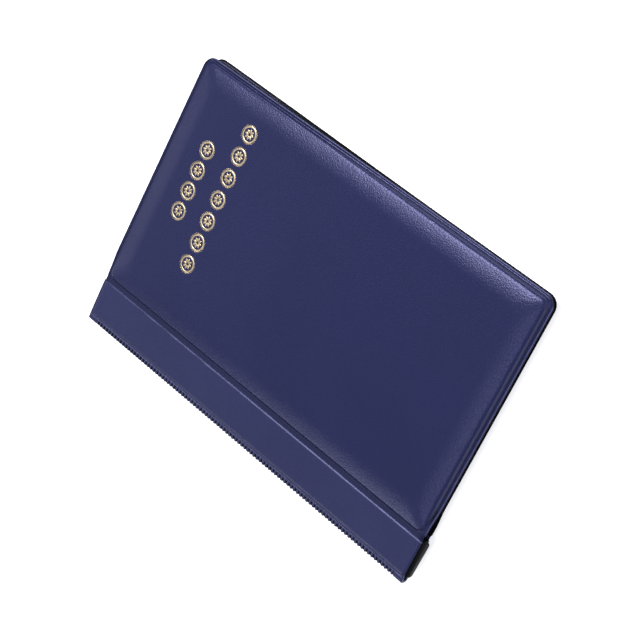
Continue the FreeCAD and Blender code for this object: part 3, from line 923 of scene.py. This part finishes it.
def make_core():
    """The black bar, its corners rounded and both of its ends drawn in."""
    x0, x1 = core_low.x, core_high.x
    core_middle = (core_low.z + core_high.z) / 2
    core_bottom = core_low.y - CORE_PROUD

    def section(y):
        """The bar's rounded outline, drawn in near its ends."""
        end = min(y - core_bottom, core_high.y - y) / END_TAPER
        share = 1 - math.sqrt(max(0.0, 1 - (1 - min(end, 1.0)) ** 2))
        right = (core_high.z - core_low.z) / 2 - 0.02 * MM
        left = right - (lean(x0) - lean(x1))
        places = []
        corners = [(x1, right, 0), (x0, left, 90), (x0, -left, 180), (x1, -right, 270)]
        for x, z, turn in corners:
            reach = CORE_ROUND + END_DRAW * share
            cx = x - math.copysign(reach, x - (x0 + x1) / 2)
            cz = z - math.copysign(CORE_ROUND, z)
            for i in range(5):
                angle = math.radians(turn + 22.5 * i)
                rise = (cz + CORE_ROUND * math.sin(angle)) * (1 - END_THIN * share)
                places.append((cx + CORE_ROUND * math.cos(angle), core_middle + rise))
        return places

    steps = [END_TAPER * (i / 6) ** 1.6 for i in range(7)]
    rows = [core_bottom + step for step in steps]
    rows += along(core_low.y + 4 * MM, core_high.y - 4 * MM, 12)
    rows += [core_high.y - step for step in reversed(steps)]
    core = sweep("leaf_binding_core", section, rows, black_vinyl)
    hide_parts("binding_core")
    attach(core, "binding")


make_core()
for side in ("front", "back"):
    paint_node(f"{side}_hinge_lining", black_vinyl)
print("core:", round((core_high.y - core_low.y + CORE_PROUD) / MM, 1), "mm long")

# %% [markdown]
# ## The leaves
#
# A leaf is one clear sheet that leaves the core, folds, and reaches nearly to the fore edge. The
# film over it is welded into three columns and four rows, and each pocket is open at the top
# with a thumb notch. One pocket and one weld bar are modelled, and Geometry Nodes set them out
# on a grid. The sheet is built flat, with close columns at its fold, and is left on no body.

# %% Pocket and weld prototypes
COLUMNS, ROWS = 3, 4
FILM = 0.1 * MM
WELD_BAR = 1.5 * MM
LEVEL_BAR = WELD_BAR * 0.8
BAR_RISE = 0.02 * MM
NOTCH = 5.5 * MM
NOTCH_DEPTH = 0.72
PILLOW = 0.03 * MM
BORDER = 1.0 * MM
FOLD_BORDER = 4.0 * MM
MOUTH = 1.2 * MM


def make_pocket(width, height):
    """Film over one pocket, notched at its open top and very slightly pillowed."""
    across, up = 14, 8
    points = []
    for level in (FILM, 0.0):
        for j in range(up + 1):
            for i in range(across + 1):
                x = width * (i / across - 0.5)
                notch = 0.0
                if abs(x) < NOTCH:
                    notch = NOTCH_DEPTH * math.sqrt(NOTCH ** 2 - x ** 2)
                y = -height / 2 + (height - notch) * j / up
                pillow = PILLOW * math.cos(math.pi * x / width) * math.sin(math.pi * j / up)
                points.append(Vector((x, y, level + pillow)))
    return mesh_object("one_pocket", points, sheet_faces(up, across), clear_film)


def make_bar(name, width, length):
    """A flat weld bar with bevelled long edges, lying along Y."""
    level = FILM + BAR_RISE
    section = [(-0.5, 0.0), (-0.5, 0.5), (-0.42, 1.0), (0.42, 1.0), (0.5, 0.5), (0.5, 0.0)]
    points = [Vector((x * width, y, z * level))
              for y in (-length / 2, length / 2) for x, z in section]
    return mesh_object(name, points, capped_faces(2, len(section)), clear_weld)


print("pockets:", COLUMNS * ROWS, "on each leaf, welds", round(WELD_BAR / MM, 1), "mm wide")


# %% Pocket grid tree
def pocket_tree():
    """A grid of copies of one prototype about a centre."""
    tree, group_in, group_out = new_tree("pockets_on_leaf", [
        ("Pocket", "Object"), ("Columns", "Int"), ("Rows", "Int"), ("Column Step", "Float"),
        ("Row Step", "Float"), ("Centre", "Vector"), ("Material", "Material")])

    def extent(count, step):
        """How far a number of steps reaches, from the first place to the last."""
        gaps = add_node(tree, "ShaderNodeMath", {0: count, 1: 1.0}, operation="SUBTRACT")
        size = add_node(tree, "ShaderNodeMath", {0: gaps.outputs["Value"], 1: step},
                        operation="MULTIPLY")
        return size.outputs["Value"]

    grid = add_node(tree, "GeometryNodeMeshGrid", {
        "Size X": extent(group_in.outputs["Columns"], group_in.outputs["Column Step"]),
        "Size Y": extent(group_in.outputs["Rows"], group_in.outputs["Row Step"]),
        "Vertices X": group_in.outputs["Columns"], "Vertices Y": group_in.outputs["Rows"]})
    placed = add_node(tree, "GeometryNodeSetPosition", {
        "Geometry": grid.outputs["Mesh"], "Offset": group_in.outputs["Centre"]})
    pocket = add_node(tree, "GeometryNodeObjectInfo", {"Object": group_in.outputs["Pocket"]})
    pockets = add_node(tree, "GeometryNodeInstanceOnPoints", {
        "Points": placed.outputs["Geometry"], "Instance": pocket.outputs["Geometry"]})
    close_tree(tree, group_in, group_out, pockets.outputs["Instances"])
    return tree


pockets_on_leaf = pocket_tree()
print("pocket tree:", len(pockets_on_leaf.nodes), "nodes")

# %% Leaf sheets
LEAF_RADIUS = 3 * MM
FOLD_ROOM = 0.3 * MM
FOLD_REACH = 1.2 * MM
SHEET = 0.14 * MM


def make_leaf_sheet(number):
    """One clear sheet from inside the core to its rounded fore corners."""
    label = f"leaf_{number:02d}"
    low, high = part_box(f"{label}_sheet")
    fold_x = low.x - FOLD_ROOM
    columns = along(core_high.x - 1.5 * MM, fold_x - 0.2 * MM, 4)
    columns += along(fold_x, fold_x + FOLD_REACH, 8)
    columns += along(fold_x + 3 * MM, high.x - LEAF_RADIUS, 14)
    columns += [high.x - LEAF_RADIUS * (1 - math.sin(math.radians(15 * i))) for i in range(1, 7)]
    up = 20
    points = []
    for level in (high.z, high.z - SHEET):
        for x in columns:
            inside = max(0.0, x - (high.x - LEAF_RADIUS))
            short = LEAF_RADIUS - math.sqrt(max(0.0, LEAF_RADIUS ** 2 - inside ** 2))
            reach = high.y - short
            for j in range(up + 1):
                points.append(Vector((x, reach * (2 * j / up - 1), level)))
    faces = sheet_faces(len(columns) - 1, up)
    sheet = mesh_object(f"{label}_clear_sheet", points, faces, clear_sheet)
    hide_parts(f"{label}_sheet", "leaf_tabs")
    level = (low.z + high.z) / 2
    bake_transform(sheet)
    return low, high


print("leaf sheets:", round(SHEET / MM, 2), "mm thick, film", round(FILM / MM, 2), "mm")


# %% Leaves and their pockets
def make_leaf(number):
    """One leaf: its sheet, its film of pockets, and the weld bars round and below them."""
    low, high = make_leaf_sheet(number)
    label = f"leaf_{number:02d}"
    width = high.x - low.x - FOLD_BORDER - BORDER
    height = high.y - low.y - 2 * BORDER
    column_step, row_step = width / COLUMNS, height / ROWS
    centre = Vector((high.x - BORDER - width / 2, 0, high.z))
    pocket = make_pocket(column_step - WELD_BAR, row_step - MOUTH)
    upright = make_bar("one_upright", WELD_BAR, height)
    level_bar = make_bar("one_level_bar", LEVEL_BAR, width)
    level_bar.data.transform(Matrix.Rotation(math.radians(90), 4, "Z"))
    film = grow(f"{label}_film", pockets_on_leaf, {
        "Pocket": pocket, "Columns": COLUMNS, "Rows": ROWS, "Column Step": column_step,
        "Row Step": row_step, "Centre": centre, "Material": clear_film})
    uprights = grow(f"{label}_upright_welds", pockets_on_leaf, {
        "Pocket": upright, "Columns": COLUMNS + 1, "Rows": 1,
        "Column Step": (width - WELD_BAR) / COLUMNS, "Row Step": 0.0, "Centre": centre,
        "Material": clear_weld})
    below = (LEVEL_BAR + row_step) / 2 - WELD_BAR
    feet = grow(f"{label}_foot_welds", pockets_on_leaf, {
        "Pocket": level_bar, "Columns": 1, "Rows": ROWS, "Column Step": 0.0,
        "Row Step": row_step, "Centre": centre - Vector((0, below, 0)), "Material": clear_weld})
    discard(pocket, upright, level_bar)
    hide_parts(f"{label}_pockets")
    for piece in (film, uprights, feet):
        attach(piece, label)


leaf_names = sorted(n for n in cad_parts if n.startswith("leaf_") and n.endswith("_sheet"))
for number in range(1, len(leaf_names) + 1):
    make_leaf(number)
print("leaves:", len(leaf_names))

# %% [markdown]
# ## The stamped ornament
#
# Two rows of coin rings are stamped in foil near the top edge. Each ring is a plain band with a
# reeded edge and a small rosette. A band, a reed and a petal are modelled, and one tree sets the
# reeds and petals round a circle and the finished ring along its row.

# %% Ornament prototypes
FOIL = 0.05 * MM
FOIL_LIFT = 0.008 * MM


def make_band(name, outer, inner, steps):
    """A flat ring of foil with a soft edge."""
    section = [(inner, 0.0), (inner + 0.03 * MM, FOIL), (outer - 0.03 * MM, FOIL), (outer, 0.0)]
    points = []
    for i in range(steps):
        angle = 2 * math.pi * i / steps
        points += [Vector((r * math.cos(angle), r * math.sin(angle), z)) for r, z in section]
    return mesh_object(name, points, loft_faces(steps, len(section), closed=True), gold_foil)


def make_petal(name, near, far, width):
    """A leaf-shaped spot of foil that points outwards along X."""
    rim = []
    for share in along(0, 1, 5):
        rim.append(Vector((near + (far - near) * share, width / 2 * math.sin(math.pi * share), 0)))
    rim += [Vector((p.x, -p.y, 0)) for p in reversed(rim[1:-1])]
    centre = Vector(((near + far) / 2, 0, 0))
    points = rim + [centre + (p - centre) * 0.86 + Vector((0, 0, FOIL)) for p in rim]
    under = tuple(range(len(rim)))
    upper = tuple(len(rim) + i for i in under)
    return mesh_object(name, points, loft_faces(2, len(rim)) + [under, upper], gold_foil)


print("foil:", round(FOIL / MM, 2), "mm, thicker than real foil so that its edge shows")


# %% Coin row tree
def coin_row_tree():
    """A row of coin rings: bands, reeds and petals joined as one coin, then copied in a line."""
    tree, group_in, group_out = new_tree("row_of_coin_rings", [
        ("Bands", "Object"), ("Reed", "Object"), ("Petal", "Object"), ("Reeds", "Int"),
        ("Petals", "Int"), ("Rings", "Int"), ("First", "Vector"), ("Step", "Vector"),
        ("Material", "Material")])

    def around(prototype, count):
        """Copies of a prototype turned evenly about the ring's middle."""
        spots = add_node(tree, "GeometryNodeMeshLine", {
            "Count": group_in.outputs[count], "Offset": (0.0, 0.0, 0.0)})
        index = add_node(tree, "GeometryNodeInputIndex")
        part = add_node(tree, "ShaderNodeMath", {
            0: index.outputs["Index"], 1: group_in.outputs[count]}, operation="DIVIDE")
        angle = add_node(tree, "ShaderNodeMath", {
            0: part.outputs["Value"], 1: 2 * math.pi}, operation="MULTIPLY")
        turn = add_node(tree, "ShaderNodeCombineXYZ", {"Z": angle.outputs["Value"]})
        stamp = add_node(tree, "GeometryNodeObjectInfo", {"Object": group_in.outputs[prototype]})
        ring = add_node(tree, "GeometryNodeInstanceOnPoints", {
            "Points": spots.outputs["Mesh"], "Instance": stamp.outputs["Geometry"],
            "Rotation": turn.outputs["Vector"]})
        return ring.outputs["Instances"]

    bands = add_node(tree, "GeometryNodeObjectInfo", {"Object": group_in.outputs["Bands"]})
    coin = add_node(tree, "GeometryNodeJoinGeometry")
    for part in (bands.outputs["Geometry"], around("Reed", "Reeds"), around("Petal", "Petals")):
        tree.links.new(part, coin.inputs["Geometry"])
    whole_coin = add_node(tree, "GeometryNodeGeometryToInstance", {
        "Geometry": coin.outputs["Geometry"]})
    places = add_node(tree, "GeometryNodeMeshLine", {
        "Count": group_in.outputs["Rings"], "Start Location": group_in.outputs["First"],
        "Offset": group_in.outputs["Step"]})
    row = add_node(tree, "GeometryNodeInstanceOnPoints", {
        "Points": places.outputs["Mesh"], "Instance": whole_coin.outputs["Instances"]})
    close_tree(tree, group_in, group_out, row.outputs["Instances"])
    return tree


row_of_rings = coin_row_tree()
print("coin row tree:", len(row_of_rings.nodes), "nodes")

# %% Foil rows
for row_name, ring_total in (("upper", 4), ("lower", 7)):
    node = f"foil_{row_name}_row"
    low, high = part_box(node)
    radius = (high.y - low.y) / 2
    step = (high.x - low.x - 2 * radius) / (ring_total - 1)
    first = Vector((low.x + radius, (low.y + high.y) / 2, 0))
    bands = make_band("coin_band", radius - 0.42 * MM, radius - 1.12 * MM, 48)
    reed = make_petal("one_reed", radius - 0.36 * MM, radius, 0.3 * MM)
    petal = make_petal("one_petal", 0.35 * MM, radius - 1.5 * MM, 0.95 * MM)
    rings = grow(f"foil_{row_name}_rings", row_of_rings, {
        "Bands": bands, "Reed": reed, "Petal": petal, "Reeds": 40, "Petals": 8,
        "Rings": ring_total, "First": first, "Step": Vector((step, 0, 0)), "Material": gold_foil})
    discard(bands, reed, petal)
    for vertex in rings.data.vertices:
        x, y = vertex.co.x, vertex.co.y
        inset = edge_distance(vertex.co)
        top = front_rim_z + padding_height(inset) + slack(x, y, inset, FRONT_SEED)
        vertex.co.z += top + FOIL_LIFT
    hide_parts(node)
    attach(rings, "front_cover")

# %% [markdown]
# ## Floor, light and camera
#
# A plain pale floor, one strong soft light over the fore edge, and weaker ones from the top
# edge, above, the front and the spine's side. The long lens sits about 0.7 m away and is rolled
# a quarter turn, so the spine lies along the lower left.

# %% Floor
def make_floor():
    """A matt floor that gives off a little light, so that shadows stay faint."""
    material, *_ = new_material(
        "matt_white_floor", Base_Color=linear("#F6F6F6"), Roughness=0.9,
        Emission_Color=linear("#FFFFFF"), Emission_Strength=0.55)
    bpy.ops.mesh.primitive_plane_add(size=6, location=(0, 0, 0))
    floor = bpy.context.object
    floor.name = "floor"
    floor.data.materials.append(material)


make_floor()


# %% Light
def soft_light(name, direction, distance, size, power):
    """A square softbox that faces the album from a direction."""
    light = bpy.data.lights.new(name, "AREA")
    light.size = size
    light.energy = power
    lamp = bpy.data.objects.new(name, light)
    place = Vector(direction).normalized() * distance
    lamp.location = place
    lamp.rotation_euler = place.to_track_quat("Z", "Y").to_euler()
    bpy.context.scene.collection.objects.link(lamp)


soft_light("fore_edge_softbox", (0.40, 0.34, 0.83), 1.3, 0.44, 21)
soft_light("top_edge_softbox", (-0.30, 0.80, 0.55), 1.3, 0.5, 1.1)
soft_light("overhead_softbox", (-0.30, -0.12, 0.94), 1.3, 0.35, 2)
soft_light("camera_fill", (0.35, -0.75, 0.55), 1.5, 1.1, 5.5)
soft_light("spine_fill", (-0.85, 0.25, 0.45), 1.5, 0.6, 5)

world = bpy.data.worlds.new("studio")
world.use_nodes = True
world.node_tree.nodes["Background"].inputs["Color"].default_value = linear("#E9ECF2")
world.node_tree.nodes["Background"].inputs["Strength"].default_value = 0.6
bpy.context.scene.world = world
bpy.context.scene.view_settings.view_transform = "Standard"
print("lamps:", len(bpy.data.lights))

# %% Camera
AZIMUTH, ELEVATION, ROLL = 33.4, 54.3, -91.1
DISTANCE = 0.687
LENS = 109.6
SENSOR = 36
AIM_ACROSS, AIM_UP = 40.3 * MM, 76.2 * MM


def make_camera():
    """A long lens aimed at the front cover and rolled about its own line of sight."""
    azimuth, elevation = math.radians(AZIMUTH), math.radians(ELEVATION)
    towards = Vector((math.sin(azimuth) * math.cos(elevation),
                      -math.cos(azimuth) * math.cos(elevation), math.sin(elevation)))
    aim = Vector((groove_x + AIM_ACROSS, bottom_y + AIM_UP, front_rim_z))
    data = bpy.data.cameras.new("camera")
    data.lens = LENS
    data.sensor_width = SENSOR
    data.clip_start = 0.01
    camera = bpy.data.objects.new("camera", data)
    turn = towards.to_track_quat("Z", "Y").to_matrix().to_4x4()
    turn = turn @ Matrix.Rotation(math.radians(ROLL), 4, "Z")
    camera.matrix_world = Matrix.Translation(aim + towards * DISTANCE) @ turn
    bpy.context.scene.collection.objects.link(camera)
    bpy.context.scene.camera = camera


make_camera()
print("camera:", LENS, "mm lens,", DISTANCE, "m away")
